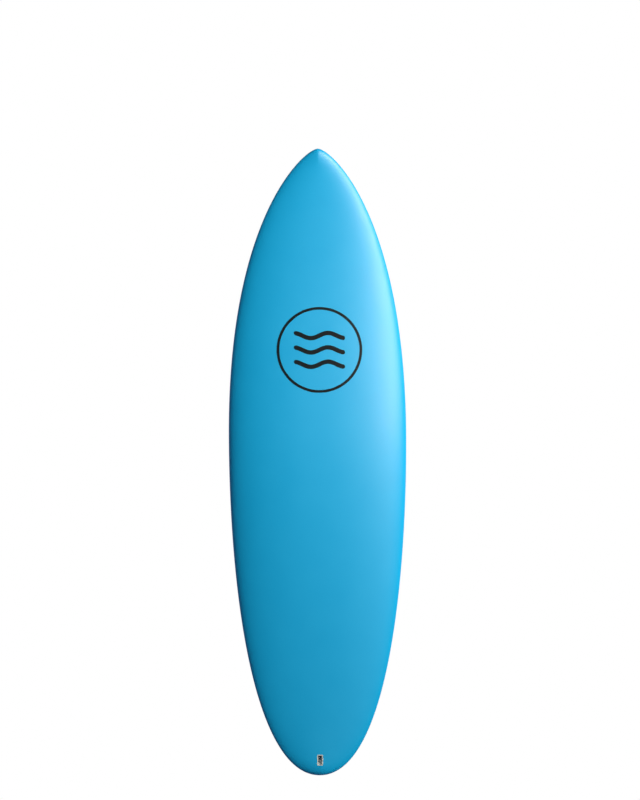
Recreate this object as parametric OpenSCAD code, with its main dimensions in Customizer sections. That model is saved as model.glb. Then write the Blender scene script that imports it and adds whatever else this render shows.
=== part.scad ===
// Soft-top shortboard surfboard with a rounded nose point and a round tail.
// Millimetres, deck up, nose towards -Y. The origin is on the bottom's flat spot,
// on the centreline and half-way along the board.

/* [Outline] */
// Overall length from nose to tail
board_l = 1829; // [1780:1:1880]
// Greatest width, rail to rail
board_w = 521; // [500:1:540]
// Distance of the widest point behind the nose
wide_at = 837; // [800:1:880]
// Reach of the nose curve across the board: more gives a blunter nose
nose_blunt = 38; // [36:1:60]
// Reach of the nose curve along the rail: more gives a fuller front half
nose_sweep = 648; // [600:1:680]
// Reach of the tail curve across the board: more gives a squarer tail
tail_blunt = 191; // [170:1:210]
// Reach of the tail curve along the rail: more gives a fuller back half
tail_sweep = 470; // [430:1:510]

/* [Thickness and rocker] */
// Greatest thickness
board_t = 67; // [62:1:75]
// Thickness just behind the nose's rounded edge
nose_tip_t = 20; // [18:1:26]
// Thickness just ahead of the tail's rounded edge
tail_tip_t = 25; // [24:1:30]
// Lift of the bottom at the nose
nose_rocker = 117; // [90:1:130]
// Lift of the bottom at the tail
tail_rocker = 52; // [40:1:60]
// Half the length of the flat spot in the middle of the bottom
flat_run = 90; // [88:1:100]
// Share of the thickness that lies above the rail's widest line
crown_share = 0.58; // [0.54:0.01:0.62]
// Share of the half-width over which the bottom is flat
flat_share = 0.86; // [0.8:0.01:0.88]
// Length over which the nose and tail edges round over
tip_run = 40; // [30:1:50]

/* [Layers] */
// Thickness of the soft foam deck and rails
deck_foam_t = 5; // [3:0.5:6]
// Thickness of the slick bottom sheet
slick_t = 2; // [1:0.5:2.5]
// Thickness of the glass and resin under the skins
laminate_t = 0.8; // [0.6:0.1:1.2]
// Thickness of each stringer
stringer_t = 3.5; // [3:0.5:5]
// Distance of the outer stringers from the centreline
stringer_x = 92; // [80:1:110]

/* [Fins and fin plugs] */
// Length of a fin's base
fin_base = 115; // [110:1:120]
// Depth of a fin below the bottom
fin_depth = 115; // [105:1:120]
// Thickness of a fin at its base
fin_t = 7; // [6.5:0.5:8]
// Outward lean of the side fins' blades, in degrees
fin_cant = 6.5; // [0:0.5:8]
// Angle of the side fins towards the nose, in degrees
fin_toe = 3; // [0:0.5:4]
// Distance from the tail to the side fins' trailing edges
side_fin_back = 280; // [260:1:300]
// Distance of the side fins in from the rail
side_fin_inset = 44; // [40:1:50]
// Distance from the tail to the centre fin's trailing edge
centre_fin_back = 90; // [85:1:110]
// Distance between a fin's two tabs
tab_pitch = 64; // [60:1:68]
// Diameter of a fin plug
plug_d = 28; // [27:0.5:30]
// Depth of a fin plug
plug_h = 16; // [15.5:0.5:18]
// Diameter of a fin plug's grub screw
screw_d = 5; // [4.5:0.1:5.2]

/* [Leash plug] */
// Distance from the tail to the middle of the leash plug
leash_back = 45; // [44:1:60]
// Width of the leash plug across the board
leash_w = 17.5; // [16:0.5:20]
// Length of the leash plug along the board
leash_l = 32; // [30:0.5:36]
// Depth of the leash plug
leash_h = 14; // [13:0.5:15]
// Diameter of the pin across the leash plug
leash_pin_d = 3.5; // [3:0.5:4]

/* [Hidden] */

half_l = board_l / 2;
half_w = board_w / 2;
glue_gap = 0.15;      // resin line around a plug set in its pocket
past = 1;             // how far a cutter runs past the surface that it opens

// ---- Hull shape ----

nose_steps = 22;
tail_steps = 22;
stations = nose_steps + tail_steps;

nose_power = 2.6;     // how late the nose rocker and tail rocker lift
tail_power = 2.2;
taper_power = 1.1;    // how evenly the thickness falls towards the tips
crown_power = 2.4;    // fullness of the deck's dome across the board

function thickness_at(y) =
    let (tip_t = y < 0 ? nose_tip_t : tail_tip_t,
         share = min(abs(y) / half_l, 1))
    tip_t + (board_t - tip_t) * pow(cos(90 * share), taper_power);

function rocker_at(y) =
    let (run = max(abs(y) - flat_run, 0) / (half_l - flat_run))
    y < 0 ? nose_rocker * pow(run, nose_power) : tail_rocker * pow(run, tail_power);

function deck_at(y) = rocker_at(y) + thickness_at(y);
function pitch_of_bottom(y) = atan((rocker_at(y + 1) - rocker_at(y - 1)) / 2);
function pitch_of_deck(y) = atan((deck_at(y + 1) - deck_at(y - 1)) / 2);

function bezier(c, t) =
    pow(1 - t, 3) * c[0] + 3 * pow(1 - t, 2) * t * c[1] + 3 * (1 - t) * t * t * c[2] + pow(t, 3) * c[3];
function bezier_way(c, t) =
    pow(1 - t, 2) * (c[1] - c[0]) + 2 * (1 - t) * t * (c[2] - c[1]) + t * t * (c[3] - c[2]);

wide_y = wide_at - half_l;
nose_curve = [[0, -half_l], [nose_blunt, -half_l], [half_w, wide_y - nose_sweep], [half_w, wide_y]];
tail_curve = [[half_w, wide_y], [half_w, wide_y + tail_sweep], [tail_blunt, half_l], [0, half_l]];

// A station is a point of the right-hand outline with the outline's outward normal there.
// The tail's stations draw together towards its tip, as the nose's do by themselves.
tail_draw = 1.5;
function station(curve, t) =
    let (way = bezier_way(curve, t))
    [bezier(curve, t), [way.y, -way.x] / norm(way)];
outline = [
    for (i = [0:nose_steps]) station(nose_curve, i / nose_steps),
    for (i = [1:tail_steps]) station(tail_curve, 1 - pow(1 - i / tail_steps, tail_draw))
];

// Half of a cross-section from the bottom's centre, round the rail, to the deck's centre.
// Each point is [share of the half-width, height as a share of the depth or the crown].
half_ring = [
    for (share = [0, 1 / 3, 2 / 3, 1]) [share * flat_share, -1],
    for (a = [22.5:22.5:90]) [flat_share + (1 - flat_share) * sin(a), -cos(a)],
    for (a = [12, 25, 40, 55, 72, 90]) [pow(cos(a), 2 / crown_power), sin(a)]
];
top = len(half_ring) - 1;
around = 2 * top;
seam = 5;             // the ring's point where the foam rail meets the slick bottom

// A layer is how far it lies inside the board's surface: [at the rail, under the deck, over the bottom].
surface = [0, 0, 0];
under_skin = [deck_foam_t, deck_foam_t, slick_t];
under_laminate = under_skin + [1, 1, 1] * laminate_t;

function hull_point(at, ring, layer, side) =
    let (edge = at[0] - layer[0] * at[1],
         y = edge.y * (1 - tip_run * (1 - ring[0]) / half_l),
         t = thickness_at(y),
         depth = (1 - crown_share) * t,
         reach = ring[1] > 0 ? crown_share * t - layer[1] : depth - layer[2])
    [side * edge.x * ring[0], y, rocker_at(y) + depth + reach * ring[1]];

function hull_grid(layer) = [
    for (at = outline, k = [0:around - 1])
        k <= top ? hull_point(at, half_ring[k], layer, 1)
                 : hull_point(at, half_ring[around - k], layer, -1)
];

// The two halves of the ring meet in one line at the nose and at the tail.
function folded(i, k) = (i == 0 || i == stations) && k > top ? around - k : k;
function corner(i, k) = i * around + folded(i, k % around);

function patch(from, to) = [
    for (i = [0:stations - 1], k = [from:to - 1])
        each [[corner(i, k), corner(i, k + 1), corner(i + 1, k + 1)],
              [corner(i, k), corner(i + 1, k + 1), corner(i + 1, k)]]
];
function inside_out(faces, shift) = [for (f = faces) [f[0] + shift, f[2] + shift, f[1] + shift]];

// The edge strip between an outer grid and the inner grid that follows it in the point list.
function rim(k, shift, flip) = [
    for (i = [0:stations - 1])
        let (a = corner(i, k), b = corner(i + 1, k))
        each flip ? [[b, a, b + shift], [a, a + shift, b + shift]]
                  : [[a, b, b + shift], [a, b + shift, a + shift]]
];

module hull_body(layer) {
    polyhedron(hull_grid(layer), patch(0, around));
}

module hull_shell(outer, inner, from, to) {
    shift = (stations + 1) * around;
    faces = patch(from, to);
    polyhedron(concat(hull_grid(outer), hull_grid(inner)),
               concat(faces, inside_out(faces, shift), rim(from, shift, false), rim(to, shift, true)));
}

// ---- Fins: places and frames ----

tab_l = 18;
tab_h = 12;
tab_t = 6;
tab_corner = 0.8;
slot_corner = 1;
slot_end_gap = 1;     // room beyond a tab's end
slot_gap = 0.2;       // running clearance of a tab in its slot, on each side
base_gap = 0.4;       // gap between a fin's base and the bottom
screw_lean = 30;      // lean of the grub screws from the plug's axis, in degrees
screw_l = 8;
screw_in = 1;         // how far a screw's head lies below the plug's face, along the screw
screw_gap = 0.05;     // radial clearance of a screw in its threaded hole
screw_x = 9.6;        // distance from the slot's centre to the screw's mouth
screw_hole_l = 11;
hex_af = 2.5;         // key size of the screw's socket
hex_depth = 3;
point_l = 0.9;        // length of the screw's cone point
point_r = 1.6;

side_fin_y = half_l - side_fin_back - fin_base / 2;
centre_fin_y = half_l - centre_fin_back - fin_base / 2;

// The outline's half-width at a place along the tail curve, found by halving the interval.
function half_width_at(y, low = 0, high = 1, left = 20) =
    let (mid = (low + high) / 2)
    left == 0 ? bezier(tail_curve, mid).x
              : bezier(tail_curve, mid).y < y ? half_width_at(y, mid, high, left - 1)
                                              : half_width_at(y, low, mid, left - 1);
side_fin_x = half_width_at(side_fin_y) - side_fin_inset;

// side is -1 for the left fin, 0 for the centre fin and 1 for the right fin.
module at_fin(side) {
    y = side == 0 ? centre_fin_y : side_fin_y;
    translate([side * side_fin_x, y, rocker_at(y)])
        rotate([pitch_of_bottom(y), 0, 0])
            rotate([0, 0, -side * fin_toe])
                children();
}

// row is -1 for the front plug and 1 for the rear plug.
module at_plug(side, row) {
    at_fin(side) translate([0, row * tab_pitch / 2, 0]) children();
}

// The side fins' screws face the stringer, so the outward lean of the blade leaves room for the key.
module at_screw(side) {
    inward = side == 1 ? -1 : 1;
    translate([inward * screw_x, 0, 0]) rotate([0, -inward * screw_lean, 0]) children();
}

module rounded_rect(w, l, r) {
    square([w - 2 * r, l], center = true);
    square([w, l - 2 * r], center = true);
    for (x = [-1, 1], y = [-1, 1])
        translate([x * (w / 2 - r), y * (l / 2 - r)]) circle(r = r, $fn = 48);
}

// ---- Leash plug: place and frame ----

leash_y = half_l - leash_back;
leash_wall = 2.75;
leash_corner = 3;
leash_floor = 2;
leash_pin_drop = 5;   // depth of the pin's axis under the deck
leash_pin_fore = 2;   // distance of the pin ahead of the plug's middle
leash_pin_seat = 1.75; // how far each end of the pin goes into the plug's wall
leash_pin_gap = 0.05;  // radial clearance of the pin in its seats

module at_leash() {
    translate([0, leash_y, deck_at(leash_y)]) rotate([pitch_of_deck(leash_y), 0, 0]) children();
}

// ---- Pockets cut through the skins, laminates, core and stringers ----

module fin_pockets() {
    for (side = [-1, 0, 1], row = [-1, 1])
        at_plug(side, row)
            translate([0, 0, -past])
                cylinder(d = plug_d + 2 * glue_gap, h = plug_h + glue_gap + past, $fn = 48);
}

module leash_pocket() {
    at_leash()
        translate([0, 0, -leash_h - glue_gap])
            linear_extrude(leash_h + glue_gap + past)
                rounded_rect(leash_w + 2 * glue_gap, leash_l + 2 * glue_gap, leash_corner);
}

// Sends a smooth shell and its pockets through as one mesh.
module as_mesh() {
    resize([0, 0, 0]) children();
}

// ---- Core and stringers ----

// The part of the core between two planes across the board.
module core_slice(x_from, x_to) {
    as_mesh() difference() {
        intersection() {
            hull_body(under_laminate);
            translate([x_from, -board_l, -board_t]) cube([x_to - x_from, 2 * board_l, 4 * board_t]);
        }
        fin_pockets();
        leash_pocket();
    }
}

module core_inner(side) {
    near = stringer_t / 2;
    far = stringer_x - stringer_t / 2;
    color("white") core_slice(side > 0 ? near : -far, side > 0 ? far : -near);
}

module core_outer(side) {
    near = stringer_x + stringer_t / 2;
    color("white") core_slice(side > 0 ? near : -board_w, side > 0 ? board_w : -near);
}

module stringer(x) {
    color("burlywood") core_slice(x - stringer_t / 2, x + stringer_t / 2);
}

module core_left_outer() { core_outer(-1); }
module core_left_inner() { core_inner(-1); }
module core_right_inner() { core_inner(1); }
module core_right_outer() { core_outer(1); }
module stringer_left() { stringer(-stringer_x); }
module stringer_centre() { stringer(0); }
module stringer_right() { stringer(stringer_x); }

// ---- Laminates and skins ----

module deck_layer(outer, inner) {
    as_mesh() difference() {
        hull_shell(outer, inner, seam, around - seam);
        leash_pocket();
    }
}

module bottom_layer(outer, inner) {
    as_mesh() difference() {
        hull_shell(outer, inner, around - seam, around + seam);
        fin_pockets();
    }
}

module deck_laminate() { color("lightyellow") deck_layer(under_skin, under_laminate); }
module bottom_laminate() { color("lightyellow") bottom_layer(under_skin, under_laminate); }
module deck_skin() { color("deepskyblue") deck_layer(surface, under_skin); }
module bottom_skin() { color("whitesmoke") bottom_layer(surface, under_skin); }

// ---- Leash plug ----

module leash_pin_at(length, d) {
    at_leash()
        translate([-length / 2, -leash_pin_fore, -leash_pin_drop])
            rotate([0, 90, 0]) cylinder(d = d, h = length, $fn = 48);
}

module leash_plug_cup() {
    recess_w = leash_w - 2 * leash_wall;
    recess_l = leash_l - 2 * leash_wall;
    color("gainsboro") difference() {
        at_leash() difference() {
            translate([0, 0, -leash_h]) linear_extrude(leash_h) rounded_rect(leash_w, leash_l, leash_corner);
            translate([0, 0, leash_floor - leash_h])
                linear_extrude(leash_h) rounded_rect(recess_w, recess_l, leash_corner / 2);
        }
        leash_pin_at(recess_w + 2 * (leash_pin_seat + leash_pin_gap), leash_pin_d + 2 * leash_pin_gap);
    }
}

module leash_plug_pin() {
    color("dimgray") leash_pin_at(leash_w - 2 * leash_wall + 2 * leash_pin_seat, leash_pin_d);
}

// ---- Fin plugs and grub screws ----

module fin_plug(side, row) {
    color("white") at_plug(side, row) difference() {
        cylinder(d = plug_d, h = plug_h, $fn = 48);
        translate([0, 0, -past])
            linear_extrude(tab_h + slot_end_gap + past)
                rounded_rect(tab_t + 2 * slot_gap, tab_l + 2 * slot_gap, slot_corner);
        at_screw(side) translate([0, 0, -2 * past])
            cylinder(d = screw_d + 2 * screw_gap, h = screw_hole_l + 2 * past, $fn = 48);
    }
}

module grub_screw(side, row) {
    color("silver") at_plug(side, row) at_screw(side) translate([0, 0, screw_in]) difference() {
        union() {
            cylinder(d = screw_d, h = screw_l - point_l, $fn = 48);
            translate([0, 0, screw_l - point_l])
                cylinder(r1 = screw_d / 2, r2 = point_r, h = point_l, $fn = 48);
        }
        translate([0, 0, -past]) cylinder(d = hex_af / cos(30), h = hex_depth + past, $fn = 6);
    }
}

module fin_plug_left_front() { fin_plug(-1, -1); }
module fin_plug_left_rear() { fin_plug(-1, 1); }
module fin_plug_centre_front() { fin_plug(0, -1); }
module fin_plug_centre_rear() { fin_plug(0, 1); }
module fin_plug_right_front() { fin_plug(1, -1); }
module fin_plug_right_rear() { fin_plug(1, 1); }
module grub_screw_left_front() { grub_screw(-1, -1); }
module grub_screw_left_rear() { grub_screw(-1, 1); }
module grub_screw_centre_front() { grub_screw(0, -1); }
module grub_screw_centre_rear() { grub_screw(0, 1); }
module grub_screw_right_front() { grub_screw(1, -1); }
module grub_screw_right_rear() { grub_screw(1, 1); }

// ---- Fins ----

blade_levels = 12;
blade_chords = 8;
blade_end = 0.97;     // where the blade's tip is cut square, as a share of its curves
edge_t = 0.8;         // thickness of the trailing edge
tip_thinning = 0.85;  // share of its thickness that the foil loses from base to tip
chord_draw = 1.5;     // how strongly a section's points draw together at its front edge
side_inner_share = 0.4; // share of a side fin's thickness on its flatter, inner face
tip_y = fin_base * 0.6;
front_edge = [[-fin_base / 2, 0], [-fin_base * 0.27, fin_depth * 0.45],
              [fin_base * 0.1, fin_depth * 0.88], [tip_y, fin_depth]];
rear_edge = [[fin_base / 2, 0], [fin_base * 0.36, fin_depth * 0.3],
             [fin_base * 0.44, fin_depth * 0.72], [tip_y, fin_depth]];

// Thickness of the foil at share q of its chord, as a share of its greatest thickness, which is at a third.
function foil(q) = sqrt(3 * q) * (1 - q) * 3 / 2;

// A section's points go along the outer face from the front edge to the rear, and back on the inner face.
function blade_point(t, q, face, inner_share, lean) =
    let (front = bezier(front_edge, t),
         rear = bezier(rear_edge, t),
         at = front + q * (rear - front),
         full = (fin_t - edge_t) * (1 - tip_thinning * t) * foil(q) + edge_t * q,
         x = face > 0 ? (1 - inner_share) * full : -inner_share * full)
    [x + lean * at.y, at.x, -base_gap - at.y];

function blade_ring(t, inner_share, lean) = [
    for (i = [0:blade_chords]) blade_point(t, pow(i / blade_chords, chord_draw), 1, inner_share, lean),
    for (i = [blade_chords:-1:1]) blade_point(t, pow(i / blade_chords, chord_draw), -1, inner_share, lean)
];

// side as for at_fin: the side fins are flatter on the inside and lean outwards.
module fin(side) {
    inner_share = side == 0 ? 0.5 : side_inner_share;
    lean = side == 0 ? 0 : tan(fin_cant);
    count = 2 * blade_chords + 1;
    points = [for (i = [0:blade_levels]) each blade_ring(blade_end * i / blade_levels, inner_share, lean)];
    walls = [
        for (i = [0:blade_levels - 1], k = [0:count - 1])
            let (a = i * count + k, b = i * count + (k + 1) % count)
            each [[a, b + count, a + count], [a, b, b + count]]
    ];
    last = blade_levels * count;
    ends = [[for (k = [count - 1:-1:0]) k], [for (k = [0:count - 1]) last + k]];
    color([0.12, 0.12, 0.13]) at_fin(side) union() {
        mirror([side < 0 ? 1 : 0, 0, 0])
            polyhedron(points, concat(walls, ends));
        for (row = [-1, 1])
            translate([0, row * tab_pitch / 2, -base_gap - slot_gap])
                linear_extrude(tab_h + base_gap + slot_gap) rounded_rect(tab_t, tab_l, tab_corner);
    }
}

module fin_left() { fin(-1); }
module fin_centre() { fin(0); }
module fin_right() { fin(1); }

core_left_outer();
core_left_inner();
core_right_inner();
core_right_outer();
stringer_left();
stringer_centre();
stringer_right();
deck_laminate();
bottom_laminate();
deck_skin();
bottom_skin();
leash_plug_cup();
leash_plug_pin();
fin_plug_left_front();
fin_plug_left_rear();
fin_plug_centre_front();
fin_plug_centre_rear();
fin_plug_right_front();
fin_plug_right_rear();
grub_screw_left_front();
grub_screw_left_rear();
grub_screw_centre_front();
grub_screw_centre_rear();
grub_screw_right_front();
grub_screw_right_rear();
fin_left();
fin_centre();
fin_right();
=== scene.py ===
"""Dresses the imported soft-top shortboard and stands it in a plain studio.

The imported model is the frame: metres, deck up, nose towards -Y. Each sub-assembly of the board is a
class that builds its pieces with bmesh operators and gives them their finishes.
"""

import logging
import math
from collections.abc import Callable, Iterable
from dataclasses import dataclass
from enum import Enum

import bmesh
import bpy
from bmesh.types import BMEdge, BMesh, BMFace, BMVert
from bpy.types import Material, Node, NodeSocket, NodeTree, Object
from mathutils import Matrix, Vector
from mathutils.bvhtree import BVHTree


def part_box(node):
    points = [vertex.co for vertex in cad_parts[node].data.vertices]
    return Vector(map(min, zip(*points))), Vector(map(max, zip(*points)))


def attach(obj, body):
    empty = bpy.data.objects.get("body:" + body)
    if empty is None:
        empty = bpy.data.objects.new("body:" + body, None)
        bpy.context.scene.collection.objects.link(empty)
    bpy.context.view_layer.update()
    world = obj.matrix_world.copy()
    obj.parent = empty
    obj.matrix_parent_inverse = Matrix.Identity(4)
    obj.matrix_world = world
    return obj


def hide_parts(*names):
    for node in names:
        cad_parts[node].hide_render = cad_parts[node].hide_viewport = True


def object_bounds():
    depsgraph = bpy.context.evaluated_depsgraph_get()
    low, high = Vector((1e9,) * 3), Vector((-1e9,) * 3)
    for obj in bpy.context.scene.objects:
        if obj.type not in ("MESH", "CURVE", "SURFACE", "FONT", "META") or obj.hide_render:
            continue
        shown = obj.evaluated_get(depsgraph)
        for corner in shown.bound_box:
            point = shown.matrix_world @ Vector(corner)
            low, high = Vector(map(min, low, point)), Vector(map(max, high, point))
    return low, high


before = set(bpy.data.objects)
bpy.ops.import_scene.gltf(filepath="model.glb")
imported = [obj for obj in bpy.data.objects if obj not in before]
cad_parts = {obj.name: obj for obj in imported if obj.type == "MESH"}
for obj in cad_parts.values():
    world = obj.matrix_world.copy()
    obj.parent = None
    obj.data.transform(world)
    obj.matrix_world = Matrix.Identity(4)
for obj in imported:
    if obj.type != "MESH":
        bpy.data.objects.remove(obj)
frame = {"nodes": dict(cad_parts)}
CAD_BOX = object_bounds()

LOG = logging.getLogger("shortboard")
MM = 0.001
BOARD = "board"
WELD = 0.001 * MM
LEVEL = 0.01 * MM
ROUND_DEG = 35.0
EDGE_DEG = 50.0


class Side(Enum):
    """The side of the board that a fin stands on, as the sign of its place on X."""

    LEFT = -1
    CENTRE = 0
    RIGHT = 1


class Row(Enum):
    """The front or the rear of a fin's two plugs, as the sign of its place along the fin."""

    FRONT = -1
    REAR = 1


# ---- Helpers for nodes ----


def linear(hex_colour: str) -> tuple[float, float, float, float]:
    """Turns an sRGB hex colour into linear red, green and blue.

    Args:
        hex_colour: Six hex digits after a hash sign.

    Returns:
        Linear red, green and blue, and an alpha of 1.
    """
    parts = [int(hex_colour[i : i + 2], 16) / 255 for i in (1, 3, 5)]
    values = [c / 12.92 if c <= 0.04045 else ((c + 0.055) / 1.055) ** 2.4 for c in parts]
    return (*values, 1.0)


def add_node(
    tree: NodeTree,
    kind: str,
    inputs: dict[str | int, object] | None = None,
    **settings: object,
) -> Node:
    """Adds one node, sets its properties, and fills or links its inputs.

    Args:
        tree: The node tree that gets the node.
        kind: The node's type name in Blender.
        inputs: Input socket names or numbers, each with a value or with an output socket to link.
        settings: Properties to set on the node itself.

    Returns:
        The new node.
    """
    node = tree.nodes.new(kind)
    for name, value in settings.items():
        setattr(node, name, value)
    for name, value in (inputs or {}).items():
        if isinstance(value, NodeSocket):
            tree.links.new(value, node.inputs[name])
        else:
            node.inputs[name].default_value = value
    return node


class Paint:
    """A material with one Principled shader, and the kinds of node that the finishes share."""

    def __init__(self, name: str, values: dict[str, object]) -> None:
        """Makes the material.

        Args:
            name: The finish's name.
            values: Values for the shader's own sockets.
        """
        self.material = bpy.data.materials.new(name)
        self.material.use_nodes = True
        self.tree = self.material.node_tree
        self.shader = self.tree.nodes["Principled BSDF"]
        for socket, value in values.items():
            self.shader.inputs[socket].default_value = value

    def place(self) -> NodeSocket:
        """Returns the place on the object, in metres."""
        return add_node(self.tree, "ShaderNodeTexCoord").outputs["Object"]

    def stretched(self, width: float, length: float) -> NodeSocket:
        """Counts the place on the object in pattern lengths.

        Args:
            width: The pattern's size across the board, and upwards.
            length: The pattern's size along the board.

        Returns:
            The place.
        """
        scale = (1 / width, 1 / length, 1 / width)
        inputs = {"Vector": self.place(), "Scale": scale}
        return add_node(self.tree, "ShaderNodeMapping", inputs).outputs["Vector"]

    def noise(
        self, place: NodeSocket, size: float, detail: float, distortion: float = 0.0
    ) -> NodeSocket:
        """Adds a noise pattern.

        Args:
            place: Where the pattern is read.
            size: The size of its largest waves.
            detail: How many finer layers it has.
            distortion: How far it is bent.

        Returns:
            The pattern, from 0 to 1.
        """
        inputs = {"Vector": place, "Scale": 1 / size, "Detail": detail, "Distortion": distortion}
        return add_node(self.tree, "ShaderNodeTexNoise", inputs).outputs["Fac"]

    def cells(self, place: NodeSocket, size: float, feature: str) -> NodeSocket:
        """Adds a pattern of cells.

        Args:
            place: Where the pattern is read.
            size: The size of a cell.
            feature: What is measured: the distance to a cell's middle or to its edge.

        Returns:
            The distance.
        """
        inputs = {"Vector": place, "Scale": 1 / size}
        # Only the smooth distance has this socket.
        if feature == "SMOOTH_F1":
            inputs["Smoothness"] = 1.0
        node = add_node(self.tree, "ShaderNodeTexVoronoi", inputs, feature=feature)
        return node.outputs["Distance"]

    def tint(self, share: NodeSocket, low: str, high: str) -> None:
        """Colours the shader.

        Args:
            share: Which of the two colours shows, from 0 to 1.
            low: The hex colour at 0.
            high: The hex colour at 1.
        """
        inputs = {0: share, 6: linear(low), 7: linear(high)}
        mix = add_node(self.tree, "ShaderNodeMix", inputs, data_type="RGBA")
        self.tree.links.new(mix.outputs[2], self.shader.inputs["Base Color"])

    def gloss(self, share: NodeSocket, low: float, high: float) -> None:
        """Sets the shader's roughness.

        Args:
            share: Which of the two values holds, from 0 to 1.
            low: The roughness at 0.
            high: The roughness at 1.
        """
        inputs = {"Value": share, "To Min": low, "To Max": high}
        spread = add_node(self.tree, "ShaderNodeMapRange", inputs)
        self.tree.links.new(spread.outputs["Result"], self.shader.inputs["Roughness"])

    def bump(
        self,
        height: NodeSocket,
        strength: float,
        distance: float,
        over: NodeSocket | None = None,
    ) -> NodeSocket:
        """Raises the surface by a pattern, and makes that the shader's normal.

        Args:
            height: The pattern.
            strength: How strongly it shows.
            distance: How high a value of 1 stands.
            over: The normal of an earlier bump that this one lies on.

        Returns:
            The new normal.
        """
        inputs = {"Height": height, "Strength": strength, "Distance": distance}
        if over is not None:
            inputs["Normal"] = over
        normal = add_node(self.tree, "ShaderNodeBump", inputs).outputs["Normal"]
        self.tree.links.new(normal, self.shader.inputs["Normal"])
        return normal


# ---- Helpers for meshes ----


def finish_mesh(bm: BMesh, name: str, sharp_deg: float = ROUND_DEG) -> Object:
    """Turns a bmesh into a smooth-shaded object at the origin.

    Args:
        bm: The bmesh, which is freed.
        name: The new object's name.
        sharp_deg: Edges that turn by more than this stay sharp.

    Returns:
        The new object, linked to the scene.
    """
    mesh = bpy.data.meshes.new(name)
    bm.to_mesh(mesh)
    bm.free()
    piece = bpy.data.objects.new(name, mesh)
    bpy.context.scene.collection.objects.link(piece)
    smooth(piece, sharp_deg)
    return piece


def smooth(piece: Object, sharp_deg: float) -> None:
    """Shades a piece smooth, but for the edges that turn by more than an angle."""
    piece.data.shade_smooth()
    piece.data.set_sharp_from_angle(angle=math.radians(sharp_deg))


def take_in(bm: BMesh, other: BMesh) -> None:
    """Adds another bmesh to a bmesh, and frees the other.

    Args:
        bm: The bmesh that grows.
        other: The bmesh that is added to it.
    """
    mesh = bpy.data.meshes.new("part")
    other.to_mesh(mesh)
    other.free()
    bm.from_mesh(mesh)
    bpy.data.meshes.remove(mesh)


def combine(
    piece: Object,
    tools: Iterable[Object],
    operation: str = "DIFFERENCE",
    sharp_deg: float = ROUND_DEG,
) -> None:
    """Cuts other objects out of a piece, or joins them to it, and removes them.

    Args:
        piece: The object whose mesh is replaced by the result.
        tools: The cutters or additions.
        operation: DIFFERENCE or UNION.
        sharp_deg: Edges that turn by more than this stay sharp.
    """
    tools = list(tools)
    for tool in tools:
        modifier = piece.modifiers.new("combine", "BOOLEAN")
        modifier.object = tool
        modifier.operation = operation
        modifier.solver = "EXACT"
    bpy.context.view_layer.update()
    evaluated = piece.evaluated_get(bpy.context.evaluated_depsgraph_get())
    mesh = bpy.data.meshes.new_from_object(evaluated)
    piece.modifiers.clear()
    piece.data = mesh
    for tool in tools:
        bpy.data.objects.remove(tool, do_unlink=True)
    smooth(piece, sharp_deg)


def edges_where(bm: BMesh, test: Callable[[BMEdge], bool]) -> list[BMEdge]:
    """Returns the edges for which a test is true."""
    return [edge for edge in bm.edges if test(edge)]


def bevel(bm: BMesh, edges: list[BMEdge], offset: float, segments: int = 3) -> None:
    """Rounds edges of a bmesh over.

    Args:
        bm: The bmesh.
        edges: The edges to round.
        offset: How far the rounding reaches from each edge.
        segments: Segments in the rounding.
    """
    bmesh.ops.bevel(
        bm,
        geom=edges,
        offset=offset,
        segments=segments,
        profile=0.5,
        affect="EDGES",
        material=-1,
        clamp_overlap=True,
    )


def rounded_block(
    width: float, length: float, low: float, high: float, corner: float, segments: int = 8
) -> BMesh:
    """Makes an upright block with rounded corners in plan.

    Args:
        width: Size along X.
        length: Size along Y.
        low: Height of the underside.
        high: Height of the top.
        corner: Radius of the four upright edges.
        segments: Segments in each rounded edge.

    Returns:
        The block, centred on the Z axis.
    """
    bm = bmesh.new()
    size = Matrix.Diagonal((width, length, high - low, 1.0))
    lift = Matrix.Translation((0, 0, (low + high) / 2))
    bmesh.ops.create_cube(bm, size=1.0, matrix=lift @ size)
    upright = edges_where(bm, lambda e: abs(e.verts[0].co.z - e.verts[1].co.z) > (high - low) / 2)
    bevel(bm, upright, corner, segments)
    return bm


def cylinder(
    diameter: float, low: float, high: float, segments: int = 64, turn: Matrix | None = None
) -> BMesh:
    """Makes a cylinder, or a prism where it has few segments.

    Args:
        diameter: Size across.
        low: Height of the underside.
        high: Height of the top.
        segments: Sides that it has.
        turn: A transform from upright on the Z axis, if it stands elsewhere.

    Returns:
        The cylinder, closed at both ends.
    """
    bm = bmesh.new()
    bmesh.ops.create_cone(
        bm,
        segments=segments,
        radius1=diameter / 2,
        radius2=diameter / 2,
        depth=high - low,
        cap_ends=True,
        matrix=(turn or Matrix()) @ Matrix.Translation((0, 0, (low + high) / 2)),
    )
    return bm


def dress(piece: Object, material: Material, body: str, slot: str, *nodes: str) -> Object:
    """Gives a piece its finish, hangs it on its body and hides the CAD nodes that it stands for.

    Args:
        piece: The piece.
        material: Its material.
        body: The body that it rides on.
        slot: Not used.
        nodes: The CAD nodes that it stands for.

    Returns:
        The piece.
    """
    piece.data.materials.clear()
    piece.data.materials.append(material)
    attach(piece, body)
    if nodes:
        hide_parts(*nodes)
    return piece


# ---- Finishes ----


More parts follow.
